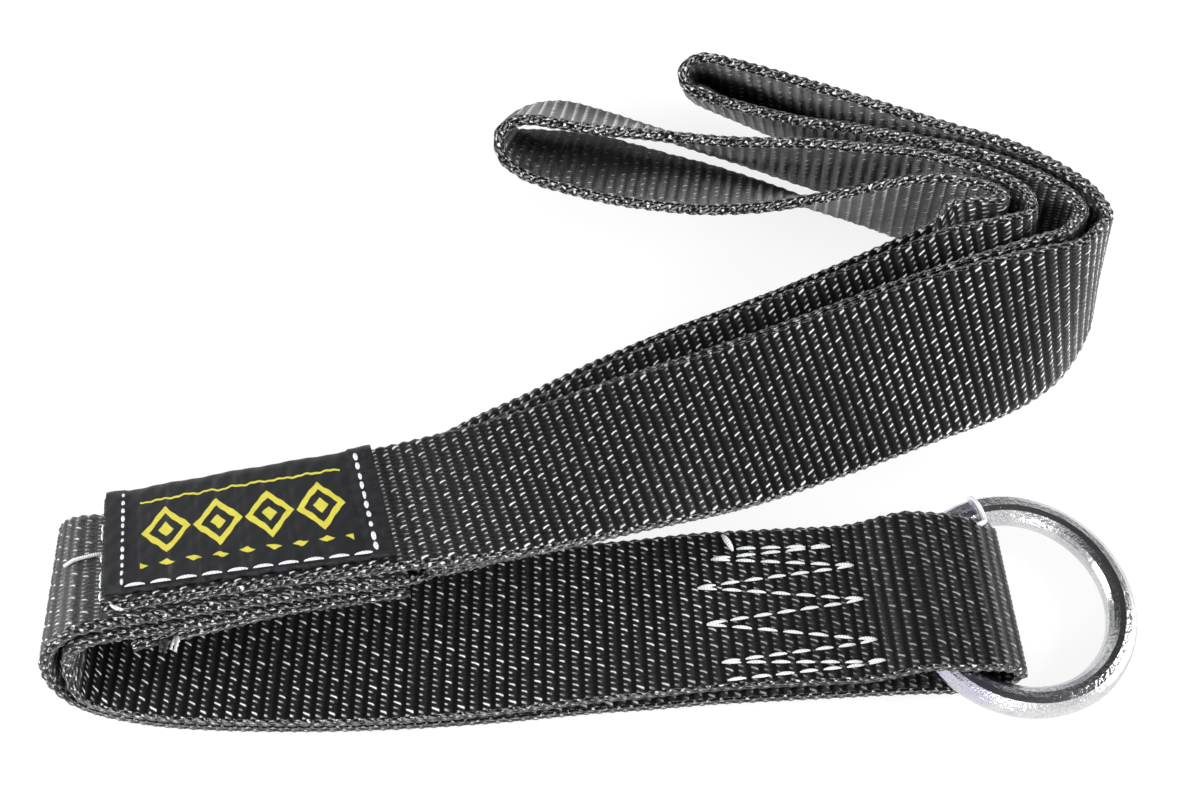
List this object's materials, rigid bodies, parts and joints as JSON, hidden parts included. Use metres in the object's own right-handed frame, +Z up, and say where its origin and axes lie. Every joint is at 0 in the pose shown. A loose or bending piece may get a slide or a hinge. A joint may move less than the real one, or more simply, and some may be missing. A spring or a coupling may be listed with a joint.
{
  "type": "hanging ab strap",
  "caption": "Hanging ab strap of heavy black webbing, folded flat: a long arm loop sewn to a doubled strap that holds a round steel ring, with a satin label over the seam.",
  "frame": {"origin": "underside of the ring strap, on the table, about midway between the label and the ring", "axes": "+X from the label towards the ring, +Y away from the viewer towards the folded loops, +Z up"},
  "size_m": [0.3228, 0.242, 0.0509],
  "materials": {
    "webbing": "woven",
    "ring_steel": "bright plated",
    "label_satin": "satin",
    "thread": "glossy"
  },
  "bodies": {
    "ring_strap": {"ring_strap": "webbing"},
    "shoulder": {"shoulder_loop": "webbing", "label": "label_satin", "join_needle_thread": "thread", "join_bobbin_thread": "thread", "label_needle_thread": "thread", "label_bobbin_thread": "thread"},
    "eye": {"zigzag_needle_thread": "thread", "zigzag_bobbin_thread": "thread"},
    "ring": {"ring": "ring_steel"}
  },
  "joints": [
    {"name": "fold_out", "type": "hinge", "parent": "ring_strap", "child": "shoulder", "pos_m": [-0.147, 0.003, 0.0145], "axis": [0, -1, 0], "range_deg": [0, 150], "deforming": ["ring_strap"]},
    {"name": "eye_swing", "type": "hinge", "parent": "ring_strap", "child": "eye", "pos_m": [0.026, 0.002, 0.0045], "axis": [0, -1, 0], "range_deg": [0, 60], "deforming": ["ring_strap"]},
    {"name": "ring_spin", "type": "hinge", "parent": "eye", "child": "ring", "pos_m": [0.1227, 0.0066, 0.00736], "axis": [0.0934, 0, 0.9956], "continuous": true}
  ]
}
